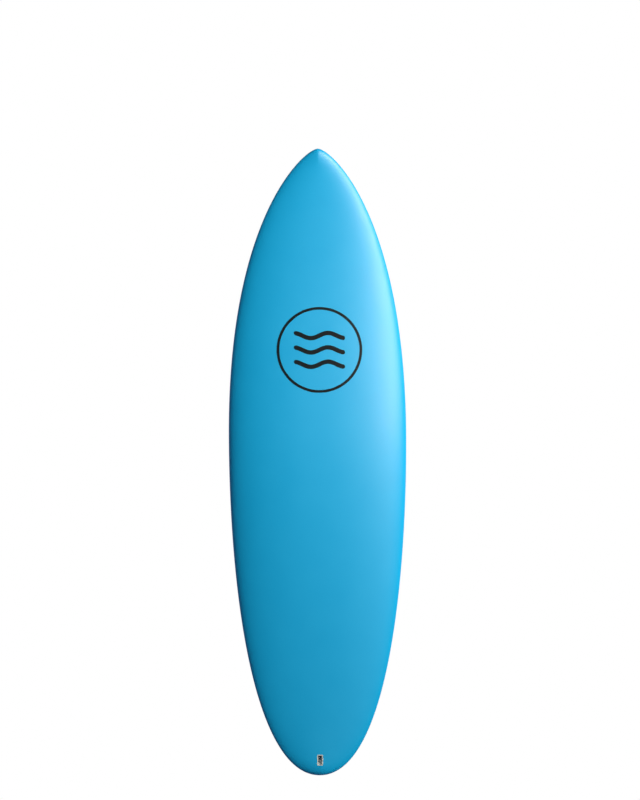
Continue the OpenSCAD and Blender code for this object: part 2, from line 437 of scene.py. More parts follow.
@dataclass(frozen=True)
class SoftFoamDeck:
    """Closed-cell polyethylene foam sheet, heat-laminated over the deck and rails.

    Its skin is satin, with a faint pebble of cells and slow waves from the vacuum bag.
    """

    colour: str = "#009bd8"
    faded: str = "#00a0dc"
    cell: float = 1.2 * MM
    wave: float = 70 * MM
    roughness: float = 0.41
    specular: float = 0.75

    def build(self) -> Material:
        """Makes the material.

        Returns:
            The material.
        """
        paint = Paint("soft_foam_deck", {"Specular IOR Level": self.specular})
        place = paint.place()
        # Real cells are about 0.3 mm, too fine to show, so they are drawn four times as coarse.
        cells = paint.cells(place, self.cell, "SMOOTH_F1")
        waves = paint.noise(place, self.wave, 3.0)
        paint.tint(waves, self.colour, self.faded)
        paint.gloss(waves, self.roughness - 0.04, self.roughness + 0.04)
        ripple = paint.bump(waves, 0.2, 0.3 * MM)
        paint.bump(cells, 0.4, 0.15 * MM, over=ripple)
        return paint.material


@dataclass(frozen=True)
class SlickSheet:
    """Extruded high-density polyethylene sheet, waxy and smooth, finely scuffed lengthwise."""

    colour: str = "#eef0f0"
    scuffed: str = "#e4e7e8"
    roughness: float = 0.28
    scuff_width: float = 1.5 * MM
    scuff_length: float = 90 * MM

    def build(self) -> Material:
        """Makes the material.

        Returns:
            The material.
        """
        paint = Paint("slick_polyethylene", {"IOR": 1.54})
        scuffs = paint.noise(paint.stretched(self.scuff_width, self.scuff_length), 1.0, 4.0)
        paint.tint(scuffs, self.scuffed, self.colour)
        paint.gloss(scuffs, self.roughness - 0.08, self.roughness + 0.1)
        paint.bump(scuffs, 0.08, 0.05 * MM)
        return paint.material


@dataclass(frozen=True)
class MouldedPlastic:
    """Injection-moulded plastic with a fine grain and, if filled, pale fibre flecks."""

    name: str
    colour: str
    fleck: str
    roughness: float
    grain: float = 0.9 * MM
    fleck_share: float = 0.0

    def build(self) -> Material:
        """Makes the material.

        Returns:
            The material.
        """
        paint = Paint(self.name, {"IOR": 1.53})
        # Real mould grain is about 0.1 mm; it is drawn nine times as coarse so that it shows.
        grain = paint.noise(paint.place(), self.grain, 2.0)
        limits = {"Value": grain, "From Min": 0.55, "From Max": 0.75, "To Max": self.fleck_share}
        share = add_node(paint.tree, "ShaderNodeMapRange", limits).outputs["Result"]
        paint.tint(share, self.colour, self.fleck)
        paint.gloss(grain, self.roughness - 0.06, self.roughness + 0.06)
        paint.bump(grain, 0.2, 0.05 * MM)
        return paint.material


@dataclass(frozen=True)
class TurnedStainless:
    """Machined stainless steel: bright metal with a fine mottle left by the tool."""

    colour: str
    bright: str
    roughness: float = 0.3
    mottle: float = 0.35 * MM

    def build(self, name: str) -> Material:
        """Makes the material.

        Args:
            name: The finish's name.

        Returns:
            The material.
        """
        paint = Paint(name, {"Metallic": 1.0})
        mottle = paint.noise(paint.place(), self.mottle, 3.0)
        paint.tint(mottle, self.colour, self.bright)
        paint.gloss(mottle, self.roughness - 0.08, self.roughness + 0.08)
        return paint.material


@dataclass(frozen=True)
class ScreenInk:
    """Screen-printed ink on the deck film: dense blue-black with faint mottling from the mesh."""

    colour: str = "#0b1016"
    thin: str = "#11171d"
    roughness: float = 0.45
    specular: float = 0.2
    mesh: float = 3 * MM

    def build(self) -> Material:
        """Makes the material.

        Returns:
            The material.
        """
        paint = Paint("screen_ink", {"Specular IOR Level": self.specular})
        # The screen's threads are about 0.1 mm apart, so the mottling is drawn far coarser.
        mottle = paint.noise(paint.place(), self.mesh, 2.0)
        paint.tint(mottle, self.colour, self.thin)
        paint.gloss(mottle, self.roughness - 0.05, self.roughness + 0.05)
        return paint.material


@dataclass(frozen=True)
class BeadFoam:
    """Expanded polystyrene block: white beads pressed together, with darker joints between them."""

    colour: str = "#f4f4f0"
    joint: str = "#d9dad6"
    bead: float = 4 * MM

    def build(self) -> Material:
        """Makes the material.

        Returns:
            The material.
        """
        paint = Paint("expanded_bead_foam", {"Roughness": 0.85})
        beads = paint.cells(paint.place(), self.bead, "DISTANCE_TO_EDGE")
        limits = {"Value": beads, "From Max": 0.08}
        share = add_node(paint.tree, "ShaderNodeMapRange", limits).outputs["Result"]
        paint.tint(share, self.joint, self.colour)
        paint.bump(share, 0.5, 0.3 * MM)
        return paint.material


@dataclass(frozen=True)
class StringerPly:
    """Rotary-cut plywood: warm veneer with long soft grain along the board."""

    pale: str = "#d9b98a"
    dark: str = "#b78f5e"
    grain_width: float = 4 * MM
    grain_length: float = 160 * MM

    def build(self) -> Material:
        """Makes the material.

        Returns:
            The material.
        """
        paint = Paint("stringer_plywood", {"Roughness": 0.6})
        place = paint.stretched(self.grain_width, self.grain_length)
        grain = paint.noise(place, 1.0, 5.0, distortion=0.6)
        paint.tint(grain, self.pale, self.dark)
        paint.bump(grain, 0.2, 0.1 * MM)
        return paint.material


@dataclass(frozen=True)
class GlassLaminate:
    """Woven glass cloth wetted out with epoxy: pale green and glossy over a visible weave."""

    thread: str = "#dfe8dc"
    resin: str = "#bccdb8"
    weave: float = 3 * MM

    def build(self) -> Material:
        """Makes the material.

        Returns:
            The material.
        """
        paint = Paint("glass_and_epoxy", {"Roughness": 0.2, "Coat Weight": 0.5})
        # The cloth's threads are 0.6 mm apart; they are drawn five times as coarse so that they
        # show. A wave texture of scale 1 repeats every 2 pi / 20 of a unit.
        inputs = {"Vector": paint.place(), "Scale": 2 * math.pi / (20 * self.weave)}
        bands = [
            add_node(paint.tree, "ShaderNodeTexWave", inputs, bands_direction=axis).outputs["Fac"]
            for axis in ("X", "Y")
        ]
        inputs = {0: bands[0], 1: bands[1]}
        product = add_node(paint.tree, "ShaderNodeMath", inputs, operation="MULTIPLY")
        weave = product.outputs["Value"]
        paint.tint(weave, self.resin, self.thread)
        paint.bump(weave, 0.2, 0.1 * MM)
        return paint.material


# ---- The hull ----


def bezier(curve: tuple[Vector, ...], t: float) -> Vector:
    """Returns the point of a cubic Bezier curve at t."""
    s = 1 - t
    return s**3 * curve[0] + 3 * s * s * t * curve[1] + 3 * s * t * t * curve[2] + t**3 * curve[3]


def bezier_way(curve: tuple[Vector, ...], t: float) -> Vector:
    """Finds the direction of a cubic Bezier curve.

    Args:
        curve: Its four control points.
        t: The place on it, from 0 to 1.

    Returns:
        The direction, of length 1.
    """
    s = 1 - t
    first, middle, last = (b - a for a, b in zip(curve, curve[1:]))
    return (s * s * first + 2 * s * t * middle + t * t * last).normalized()


@dataclass(frozen=True)
class Layer:
    """How far a surface lies inside the board: at the rail, under the deck and over the bottom."""

    rail: float = 0.0
    deck: float = 0.0
    bottom: float = 0.0


@dataclass(frozen=True)
class Hull:
    """The board's outer shape: its outline, rocker, thickness and cross-section.

    A place on it is given by along, 0 at the nose and 1 at the tail, and by turn, 0 at the bottom's
    centre, 1 where the rail tucks up, 2 at the rail's widest line and 3 at the deck's centre.
    """

    length: float
    width: float
    wide_at: float = 837 * MM
    nose_blunt: float = 38 * MM
    nose_sweep: float = 648 * MM
    tail_blunt: float = 191 * MM
    tail_sweep: float = 470 * MM
    thickness: float = 67 * MM
    nose_tip: float = 20 * MM
    tail_tip: float = 25 * MM
    nose_rocker: float = 117 * MM
    tail_rocker: float = 52 * MM
    flat_run: float = 90 * MM
    tip_run: float = 40 * MM
    crown_share: float = 0.58
    flat_share: float = 0.86
    nose_power: float = 2.6
    tail_power: float = 2.2
    taper_power: float = 1.1
    crown_power: float = 2.4
    tail_draw: float = 1.5
    halvings: int = 40

    @property
    def half_length(self) -> float:
        """Half of the length."""
        return self.length / 2

    def thickness_at(self, y: float) -> float:
        """Finds the thickness on the centreline.

        Args:
            y: The place along the board.

        Returns:
            The thickness.
        """
        tip = self.nose_tip if y < 0 else self.tail_tip
        share = min(abs(y) / self.half_length, 1.0)
        fullness = max(math.cos(math.pi / 2 * share), 0.0) ** self.taper_power
        return tip + (self.thickness - tip) * fullness

    def rocker_at(self, y: float) -> float:
        """Finds the height of the bottom on the centreline.

        Args:
            y: The place along the board.

        Returns:
            The height above the bottom's lowest line.
        """
        run = max(abs(y) - self.flat_run, 0.0) / (self.half_length - self.flat_run)
        if y < 0:
            return self.nose_rocker * run**self.nose_power
        return self.tail_rocker * run**self.tail_power

    def deck_at(self, y: float) -> float:
        """Returns the height of the deck's centreline at a place along the board."""
        return self.rocker_at(y) + self.thickness_at(y)

    def pitch(self, height: Callable[[float], float], y: float) -> float:
        """Returns the slope angle of a height function at a place along the board."""
        return math.atan((height(y + MM) - height(y - MM)) / (2 * MM))

    def edge(self, along: float) -> tuple[Vector, Vector]:
        """Finds a place on the right-hand outline.

        Args:
            along: 0 at the nose, 0.5 at the widest point and 1 at the tail.

        Returns:
            The point in plan and the outline's outward normal there.
        """
        half, wide_y = self.half_length, self.wide_at - self.half_length
        wide = Vector((self.width / 2, wide_y))
        if along < 0.5:
            curve = (
                Vector((0, -half)),
                Vector((self.nose_blunt, -half)),
                wide - Vector((0, self.nose_sweep)),
                wide,
            )
            t = 2 * along
        else:
            curve = (
                wide,
                wide + Vector((0, self.tail_sweep)),
                Vector((self.tail_blunt, half)),
                Vector((0, half)),
            )
            t = 1 - (2 - 2 * along) ** self.tail_draw
        way = bezier_way(curve, t)
        return bezier(curve, t), Vector((way.y, -way.x))

    def half_width_at(self, y: float) -> float:
        """Finds the outline's half-width, by halving an interval.

        Args:
            y: The place along the board.

        Returns:
            The half-width.
        """
        low, high = 0.0, 1.0
        for _ in range(self.halvings):
            middle = (low + high) / 2
            if self.edge(middle)[0].y < y:
                low = middle
            else:
                high = middle
        return self.edge(low)[0].x

    def section(self, turn: float) -> tuple[float, float]:
        """Finds a point of the half cross-section.

        Args:
            turn: 0 at the bottom's centre, round the rail, to 3 at the deck's centre.

        Returns:
            The share of the half-width, and the height as a share of the depth or the crown.
        """
        if turn < 1:
            return turn * self.flat_share, -1.0
        if turn < 2:
            angle = (turn - 1) * math.pi / 2
            return self.flat_share + (1 - self.flat_share) * math.sin(angle), -math.cos(angle)
        angle = min(turn - 2, 1.0) * math.pi / 2
        return max(math.cos(angle), 0.0) ** (2 / self.crown_power), math.sin(angle)

    def point(self, along: float, turn: float, side: float, layer: Layer) -> Vector:
        """Finds a point of the board's surface, or of a layer inside it.

        Args:
            along: 0 at the nose to 1 at the tail.
            turn: 0 at the bottom's centre to 3 at the deck's centre.
            side: 1 for the right-hand half and -1 for the left-hand half.
            layer: How far the surface lies inside the board.

        Returns:
            The point.
        """
        place, outward = self.edge(along)
        share, level = self.section(turn)
        place = place - layer.rail * outward
        y = place.y * (1 - self.tip_run * (1 - share) / self.half_length)
        thickness = self.thickness_at(y)
        depth = (1 - self.crown_share) * thickness
        reach = self.crown_share * thickness - layer.deck if level > 0 else depth - layer.bottom
        return Vector((side * place.x * share, y, self.rocker_at(y) + depth + reach * level))


class Half(Enum):
    """The two skins, as the turn of the section that each has at its middle."""

    DECK = 3.0
    BOTTOM = 0.0


@dataclass(frozen=True)
class Skin:
    """One of the two outer skins, from its middle line out to the seam on each rail."""

    hull: Hull
    half: Half
    layer: Layer
    seam: float = 1.5
    steps_along: int = 200
    steps_across: int = 88
    seam_radius: float = 0.5 * MM

    def surface(self, layer: Layer) -> BMesh:
        """Lays a grid over the skin's own half of the hull, at the depth of a layer.

        The grid's long edges become the seam. Its short edges fold shut at the nose and the tail.

        Args:
            layer: How far the surface lies inside the board.

        Returns:
            The surface, open at the seam.
        """
        bm = bmesh.new()
        steps = {"x_segments": self.steps_along, "y_segments": self.steps_across}
        bmesh.ops.create_grid(bm, size=1.0, **steps)
        # The faces point outwards when the grid's width runs to the left on the deck.
        handed = -1 if self.half is Half.DECK else 1
        for vert in bm.verts:
            along, across = (vert.co.x + 1) / 2, vert.co.y
            turn = self.half.value + abs(across) * (self.seam - self.half.value)
            side = handed * (1 if across >= 0 else -1)
            vert.co = self.hull.point(along, turn, side, layer)
        bmesh.ops.remove_doubles(bm, verts=bm.verts, dist=WELD)
        return bm

    def build(self, name: str) -> Object:
        """Makes the closed skin: its outer and inner surfaces, joined along the rounded seam.

        Args:
            name: The skin's name.

        Returns:
            The skin.
        """
        bm = self.surface(Layer())
        seam = bm.edges.layers.int.new("seam")
        for edge in edges_where(bm, lambda e: e.is_boundary):
            edge[seam] = 1
        inner = self.surface(self.layer)
        bmesh.ops.reverse_faces(inner, faces=inner.faces)
        take_in(bm, inner)
        bmesh.ops.bridge_loops(bm, edges=edges_where(bm, lambda e: e.is_boundary))
        bevel(bm, edges_where(bm, lambda e: e[seam] == 1), self.seam_radius, 2)
        return finish_mesh(bm, name)


# ---- Leash plug ----


@dataclass(frozen=True)
class LeashPlug:
    """The moulded cup set into the deck near the tail, with a steel pin across it for the leash."""

    hull: Hull
    back: float = 45 * MM
    width: float = 17.5 * MM
    length: float = 32 * MM
    depth: float = 14 * MM
    wall: float = 2.75 * MM
    floor: float = 2 * MM
    corner: float = 3 * MM
    rim_radius: float = 0.5 * MM
    glue_gap: float = 0.15 * MM
    pin_diameter: float = 3.5 * MM
    pin_drop: float = 5 * MM
    pin_fore: float = 2 * MM
    pin_seat: float = 1.75 * MM
    pin_gap: float = 0.05 * MM

    @property
    def place(self) -> Matrix:
        """The plug's own frame: its top face on the deck, square to it."""
        y = self.hull.half_length - self.back
        pitch = self.hull.pitch(self.hull.deck_at, y)
        return Matrix.Translation((0, y, self.hull.deck_at(y))) @ Matrix.Rotation(pitch, 4, "X")

    def pocket(self) -> Object:
        """Makes the cutter for the plug's pocket in the deck.

        Returns:
            The cutter, in its place.
        """
        gap = self.glue_gap
        bm = rounded_block(
            self.width + 2 * gap, self.length + 2 * gap, -self.depth, self.depth / 2, self.corner
        )
        piece = finish_mesh(bm, "leash_pocket")
        piece.data.transform(self.place)
        return piece

    def cup(self) -> Object:
        """Makes the cup: a rounded block, its recess drawn down from an inset of the top face.

        Returns:
            The cup, in its place.
        """
        bm = rounded_block(self.width, self.length, -self.depth, 0, self.corner)
        top = max(bm.faces, key=lambda f: f.calc_center_median().z)
        bmesh.ops.inset_region(bm, faces=[top], thickness=self.wall, use_even_offset=True)
        drawn = bmesh.ops.extrude_face_region(bm, geom=[top])
        floor = [g for g in drawn["geom"] if isinstance(g, BMFace)]
        bmesh.ops.delete(bm, geom=[top], context="FACES_ONLY")
        down = Vector((0, 0, self.floor - self.depth))
        bmesh.ops.translate(bm, verts=list({v for f in floor for v in f.verts}), vec=down)
        bmesh.ops.recalc_face_normals(bm, faces=bm.faces)
        level = edges_where(bm, lambda e: all(abs(v.co.z) < LEVEL for v in e.verts))
        rims = [e for e in level if any(abs(f.normal.z) < 0.5 for f in e.link_faces)]
        bevel(bm, rims, self.rim_radius)
        piece = finish_mesh(bm, "leash_plug_cup")
        combine(piece, [self.rod("pin_seat", self.pin_diameter + 2 * self.pin_gap, self.pin_gap)])
        piece.data.transform(self.place)
        return piece

    def rod(self, name: str, diameter: float, spare: float) -> Object:
        """Makes a rod across the plug, where the pin goes, in the plug's own frame.

        Args:
            name: The rod's name.
            diameter: Its diameter.
            spare: How much longer than the pin it is at each end.

        Returns:
            The rod.
        """
        half = self.width / 2 - self.wall + self.pin_seat + spare
        across = Matrix.Rotation(math.pi / 2, 4, "Y")
        turn = Matrix.Translation((0, -self.pin_fore, -self.pin_drop)) @ across
        return finish_mesh(cylinder(diameter, -half, half, 48, turn), name)

    def pin(self) -> Object:
        """Makes the pin.

        Returns:
            The pin, in its place across the cup.
        """
        piece = self.rod("leash_plug_pin", self.pin_diameter, 0.0)
        piece.data.transform(self.place)
        return piece

    def dress(self, moulding: Material, steel: Material) -> None:
        """Builds the cup and the pin and gives them their finishes.

        Args:
            moulding: The cup's material.
            steel: The pin's material.
        """
        dress(self.cup(), moulding, BOARD, "leash_cup", "leash_plug_cup").name = "leash_cup"
        dress(self.pin(), steel, BOARD, "pin_steel", "leash_plug_pin").name = "leash_pin"
        LOG.info("leash plug: cup and pin")


# ---- Fins, plugs and grub screws ----


@dataclass(frozen=True)
class FinMount:
    """Where one fin stands: two round plugs in the bottom, each with a slot and a grub screw."""

    hull: Hull
    side: Side
    fin_base: float = 115 * MM
    toe_deg: float = 3.0
    side_back: float = 280 * MM
    side_inset: float = 44 * MM
    centre_back: float = 90 * MM
    tab_pitch: float = 64 * MM
    tab_width: float = 6 * MM
    tab_length: float = 18 * MM
    tab_height: float = 12 * MM
    slot_gap: float = 0.2 * MM
    slot_end_gap: float = 1 * MM
    plug_diameter: float = 28 * MM
    plug_height: float = 16 * MM
    plug_rim: float = 0.4 * MM
    slot_corner: float = 1 * MM
    glue_gap: float = 0.15 * MM
    screw_x: float = 9.6 * MM
    screw_lean_deg: float = 30.0
    screw_in: float = 1 * MM
    screw_diameter: float = 5 * MM
    screw_length: float = 8 * MM
    screw_hole_length: float = 11 * MM
    screw_gap: float = 0.05 * MM
    thread_pitch: float = 0.8 * MM
    thread_depth: float = 0.45 * MM
    thread_crest: float = 0.45
    thread_root: float = 0.95
    point_length: float = 0.9 * MM
    point_radius: float = 1.6 * MM
    key_size: float = 2.5 * MM
    key_depth: float = 3 * MM

    @property
    def label(self) -> str:
        """The side's word in node names."""
        return self.side.name.lower()

    @property
    def place(self) -> Matrix:
        """The fin's own frame: on the bottom, square to it, and turned by the toe-in."""
        back = self.centre_back if self.side is Side.CENTRE else self.side_back
        y = self.hull.half_length - back - self.fin_base / 2
        x = self.side.value * (self.hull.half_width_at(y) - self.side_inset)
        return (
            Matrix.Translation((x, y, self.hull.rocker_at(y)))
            @ Matrix.Rotation(self.hull.pitch(self.hull.rocker_at, y), 4, "X")
            @ Matrix.Rotation(math.radians(-self.side.value * self.toe_deg), 4, "Z")
        )

    def plug_place(self, row: Row) -> Matrix:
        """Returns the frame of one of the fin's two plugs."""
        return self.place @ Matrix.Translation((0, row.value * self.tab_pitch / 2, 0))

    @property
    def screw_lean(self) -> Matrix:
        """The grub screw's frame in its plug: its mouth beside the slot, leaning towards it."""
        inward = -1 if self.side is Side.RIGHT else 1
        lean = math.radians(-inward * self.screw_lean_deg)
        return Matrix.Translation((inward * self.screw_x, 0, 0)) @ Matrix.Rotation(lean, 4, "Y")

    def pocket(self, row: Row) -> Object:
        """Makes the cutter for a plug's pocket in the bottom skin.

        Args:
            row: Which plug it is.

        Returns:
            The cutter, in its place.
        """
        diameter = self.plug_diameter + 2 * self.glue_gap
        bm = cylinder(diameter, -self.plug_height / 2, self.plug_height)
        piece = finish_mesh(bm, "plug_pocket")
        piece.data.transform(self.plug_place(row))
        return piece

    def plug(self, row: Row) -> Object:
        """Makes a plug: a round body with a rounded rim, its slot and its leaning screw hole.

        Args:
            row: Which plug it is.

        Returns:
            The plug, in its place.
        """
        bm = cylinder(self.plug_diameter, 0.0, self.plug_height, 96)
        rim = edges_where(bm, lambda e: all(abs(v.co.z) < LEVEL for v in e.verts))
        bevel(bm, rim, self.plug_rim)
        piece = finish_mesh(bm, f"plug_{self.label}_{row.name.lower()}")
        slot = rounded_block(
            self.tab_width + 2 * self.slot_gap,
            self.tab_length + 2 * self.slot_gap,
            -self.tab_height / 2,
            self.tab_height + self.slot_end_gap,
            self.slot_corner,
        )
        diameter, depth = self.screw_diameter + 2 * self.screw_gap, self.screw_hole_length
        hole = finish_mesh(cylinder(diameter, -depth / 2, depth), "screw_hole")
        hole.data.transform(self.screw_lean)
        combine(piece, [finish_mesh(slot, "slot"), hole])
        piece.data.transform(self.plug_place(row))
        return piece

    def grub_screw(self, row: Row) -> Object:
        """Makes a grub screw: a turned profile with grooves and a cone point, and a hex socket.

        The grooves are rings at the thread's pitch.

        Args:
            row: Which plug it is in.

        Returns:
            The screw, in its place.
        """
        radius, shank = self.screw_diameter / 2, self.screw_length - self.point_length
        root = radius - self.thread_depth
        profile = [(0.0, 0.0), (root, 0.0)]
        grooves = int(shank / self.thread_pitch)
        for i in range(grooves):
            low = shank * i / grooves
            profile.append((radius, low + self.thread_pitch * self.thread_crest))
            profile.append((root, low + self.thread_pitch * self.thread_root))
        profile += [(self.point_radius, self.screw_length), (0.0, self.screw_length)]
        bm = bmesh.new()
        verts = [bm.verts.new((x, 0, z)) for x, z in profile]
        edges = [bm.edges.new(pair) for pair in zip(verts, verts[1:])]
        bmesh.ops.spin(
            bm,
            geom=verts + edges,
            cent=(0, 0, 0),
            axis=(0, 0, 1),
            angle=2 * math.pi,
            steps=40,
            use_merge=True,
        )
        bmesh.ops.remove_doubles(bm, verts=bm.verts, dist=WELD)
        bmesh.ops.recalc_face_normals(bm, faces=bm.faces)
        piece = finish_mesh(bm, f"screw_{self.label}_{row.name.lower()}", sharp_deg=EDGE_DEG)
        across = self.key_size / math.cos(math.pi / 6)
        key = cylinder(across, -self.key_depth, self.key_depth, 6)
        combine(piece, [finish_mesh(key, "socket")], sharp_deg=EDGE_DEG)
        piece.data.transform(
            self.plug_place(row) @ self.screw_lean @ Matrix.Translation((0, 0, self.screw_in))
        )
        return piece

    def dress(self, moulding: Material, steel: Material) -> None:
        """Builds both plugs and both grub screws and gives them their finishes.

        Args:
            moulding: The plugs' material.
            steel: The screws' material.
        """
        for row in Row:
            word = f"{self.label}_{row.name.lower()}"
            dress(self.plug(row), moulding, BOARD, "plug_plastic", f"fin_plug_{word}")
            dress(self.grub_screw(row), steel, f"{word}_screw", "screw_steel", f"grub_screw_{word}")
        LOG.info("%s fin's plugs and grub screws", self.label)


# ---- Fin blades ----


@dataclass(frozen=True)
class Fin:
    """A swept foil blade with two tabs that push into the fin's plugs."""

    mount: FinMount
    depth: float = 115 * MM
    thickness: float = 7 * MM
    edge_thickness: float = 0.8 * MM
    base_gap: float = 0.4 * MM
    tip_share: float = 0.97
    tip_thinning: float = 0.85
    side_inner_share: float = 0.4
    cant_deg: float = 6.5
    tab_corner: float = 0.8 * MM
    tab_rounding: float = 0.5 * MM
    edge_radius: float = 0.25 * MM
    corner_deg: float = 40.0
    upright_step: float = 0.3 * MM
    steps_round: int = 56
    steps_down: int = 48

    def curves(self) -> tuple[tuple[Vector, ...], tuple[Vector, ...]]:
        """Draws the blade's outline.

        Returns:
            Its front and rear edges, as places along the base and depths below it.
        """
        base, depth = self.mount.fin_base, self.depth
        tip = Vector((base * 0.6, depth))
        front = (
            Vector((-base / 2, 0)),
            Vector((-base * 0.27, depth * 0.45)),
            Vector((base * 0.1, depth * 0.88)),
            tip,
        )
        rear = (
            Vector((base / 2, 0)),
            Vector((base * 0.36, depth * 0.3)),
            Vector((base * 0.44, depth * 0.72)),
            tip,
        )
        return front, rear

    def blade(self) -> BMesh:
        """Wraps a grid round the foil's front edge and closes its rear edge, base and tip.

        Returns:
            The closed blade, in the fin's own frame.
        """
        bm = bmesh.new()
        bmesh.ops.create_grid(bm, x_segments=self.steps_round, y_segments=self.steps_down, size=1.0)
        front, rear = self.curves()
        side = self.mount.side
        inner = 0.5 if side is Side.CENTRE else self.side_inner_share
        lean = side.value * math.tan(math.radians(self.cant_deg))
        outward = side.value or 1
        for vert in bm.verts:
            round_edge, t = vert.co.x, self.tip_share * (vert.co.y + 1) / 2
            q = round_edge**2
            place = bezier(front, t).lerp(bezier(rear, t), q)
            foil = math.sqrt(3 * q) * (1 - q) * 1.5
            full = (self.thickness - self.edge_thickness) * (1 - self.tip_thinning * t) * foil
            full += self.edge_thickness * q
            share = (1 - inner) if round_edge > 0 else -inner
            vert.co = (outward * share * full + lean * place.y, place.x, -self.base_gap - place.y)
        rims = edges_where(bm, lambda e: e.is_boundary)
        trailing = [
            e
            for e in rims
            if abs(e.verts[0].co.z - e.verts[1].co.z) > self.upright_step
            and min(v.co.y for v in e.verts) > 0
        ]
        bmesh.ops.bridge_loops(bm, edges=trailing)
        bmesh.ops.holes_fill(bm, edges=edges_where(bm, lambda e: e.is_boundary), sides=0)
        bmesh.ops.recalc_face_normals(bm, faces=bm.faces)
        corners = edges_where(
            bm,
            lambda e: len(e.link_faces) == 2
            and e.calc_face_angle() > math.radians(self.corner_deg)
            and max(v.co.z for v in e.verts) < -2 * self.base_gap,
        )
        bevel(bm, corners, self.edge_radius, 2)
        return bm

    def build(self) -> Object:
        """Makes the fin: the blade with its two tabs joined on.

        Returns:
            The fin, in its place under the board.
        """
        mount = self.mount
        piece = finish_mesh(self.blade(), f"fin_{mount.label}_blade", sharp_deg=EDGE_DEG)
        tabs = []
        for row in Row:
            low = -self.base_gap - mount.slot_gap
            size = (mount.tab_width, mount.tab_length)
            bm = rounded_block(*size, low, mount.tab_height, self.tab_corner)
            top = edges_where(bm, lambda e: all(v.co.z > mount.tab_height - MM for v in e.verts))
            bevel(bm, top, self.tab_rounding)
            bmesh.ops.translate(bm, verts=bm.verts, vec=(0, row.value * mount.tab_pitch / 2, 0))
            tabs.append(finish_mesh(bm, "tab"))
        combine(piece, tabs, "UNION", sharp_deg=EDGE_DEG)
        piece.data.transform(mount.place)
        return piece

    def dress(self, moulding: Material) -> None:
        """Builds the fin and gives it its finish.

        Args:
            moulding: The fin's material.
        """
        label = self.mount.label
        dress(self.build(), moulding, f"{label}_fin", "fin_composite", f"fin_{label}")
        LOG.info("%s fin", label)


# ---- Deck print ----


@dataclass(frozen=True)
class DeckEmblem:
    """A plain ring with three wave lines in it, screen-printed on the deck near the nose."""

    hull: Hull
    from_nose: float = 585 * MM
    offset: float = -5 * MM
    ring_diameter: float = 251 * MM
    ring_stroke: float = 8 * MM
    wave_span: float = 150 * MM
    wave_height: float = 15 * MM
    wave_stroke: float = 13 * MM
    wave_spacing: float = 42 * MM
    wave_cycles: float = 1.5
    wave_lines: int = 3
    film: float = 0.2 * MM
    sunk: float = 0.15 * MM
    ring_steps: int = 192
    wave_steps: int = 96

    def ring(self) -> BMesh:
        """Makes the flat ring by bending a grid round a circle.

        Returns:
            The ring, round the origin.
        """
        bm = bmesh.new()
        bmesh.ops.create_grid(bm, x_segments=self.ring_steps, y_segments=3, size=1.0)
        for vert in bm.verts:
            angle = math.pi * vert.co.x
            radius = self.ring_diameter / 2 + self.ring_stroke * (vert.co.y - 1) / 2
            vert.co = (-radius * math.sin(angle), radius * math.cos(angle), 0)
        bmesh.ops.remove_doubles(bm, verts=bm.verts, dist=LEVEL)
        return bm

    def wave(self, number: int) -> BMesh:
        """Makes one flat wave line with rounded ends by bending a grid along a sine.

        Args:
            number: Which line it is, counted from the nose.

        Returns:
            The line, in the emblem's own frame.
        """
        bm = bmesh.new()
        bmesh.ops.create_grid(bm, x_segments=self.wave_steps, y_segments=5, size=1.0)
        level = (number - (self.wave_lines - 1) / 2) * self.wave_spacing
        for vert in bm.verts:
            along, across = math.sin(math.pi / 2 * vert.co.x), vert.co.y
            run_out = max((abs(along) - 1) * self.wave_span / self.wave_stroke + 1, 0.0)
            end = math.sqrt(max(1 - run_out**2, 0.0))
            angle = math.pi * self.wave_cycles * along
            slope = self.wave_height / 2 * math.pi * self.wave_cycles / (self.wave_span / 2)
            normal = Vector((-slope * math.cos(angle), 1)).normalized()
            middle = Vector((along * self.wave_span / 2, self.wave_height / 2 * math.sin(angle)))
            place = middle + normal * (across * end * self.wave_stroke / 2)
            vert.co = (place.x, level + place.y, 0)
        bmesh.ops.remove_doubles(bm, verts=bm.verts, dist=LEVEL)
        return bm

    def build(self, deck: Object) -> Object:
        """Lays the print on the deck as a thin closed film.

        Args:
            deck: The deck's skin.

        Returns:
            The print.
        """
        bm = bmesh.new()
        for part in (self.ring(), *(self.wave(i) for i in range(self.wave_lines))):
            take_in(bm, part)
        tree = BVHTree.FromObject(deck, bpy.context.evaluated_depsgraph_get())
        centre = Vector((self.offset, self.from_nose - self.hull.half_length))
        down = Vector((0, 0, -1))
        for vert in bm.verts:
            above = Vector((centre.x + vert.co.x, centre.y + vert.co.y, 1))
            hit = tree.ray_cast(above, down)[0]
            vert.co = hit + Vector((0, 0, self.film))
        bmesh.ops.recalc_face_normals(bm, faces=bm.faces)
        lower = bmesh.ops.extrude_face_region(bm, geom=bm.faces[:])
        sunk = [g for g in lower["geom"] if isinstance(g, BMVert)]
        bmesh.ops.translate(bm, verts=sunk, vec=(0, 0, -self.film - self.sunk))
        bmesh.ops.recalc_face_normals(bm, faces=bm.faces)
        return finish_mesh(bm, "deck_emblem")

    def dress(self, deck: Object, ink: Material) -> None:
        """Builds the print and gives it its ink."""
        dress(self.build(deck), ink, BOARD, "deck_ink")
        LOG.info("deck emblem")


# ---- The board ----


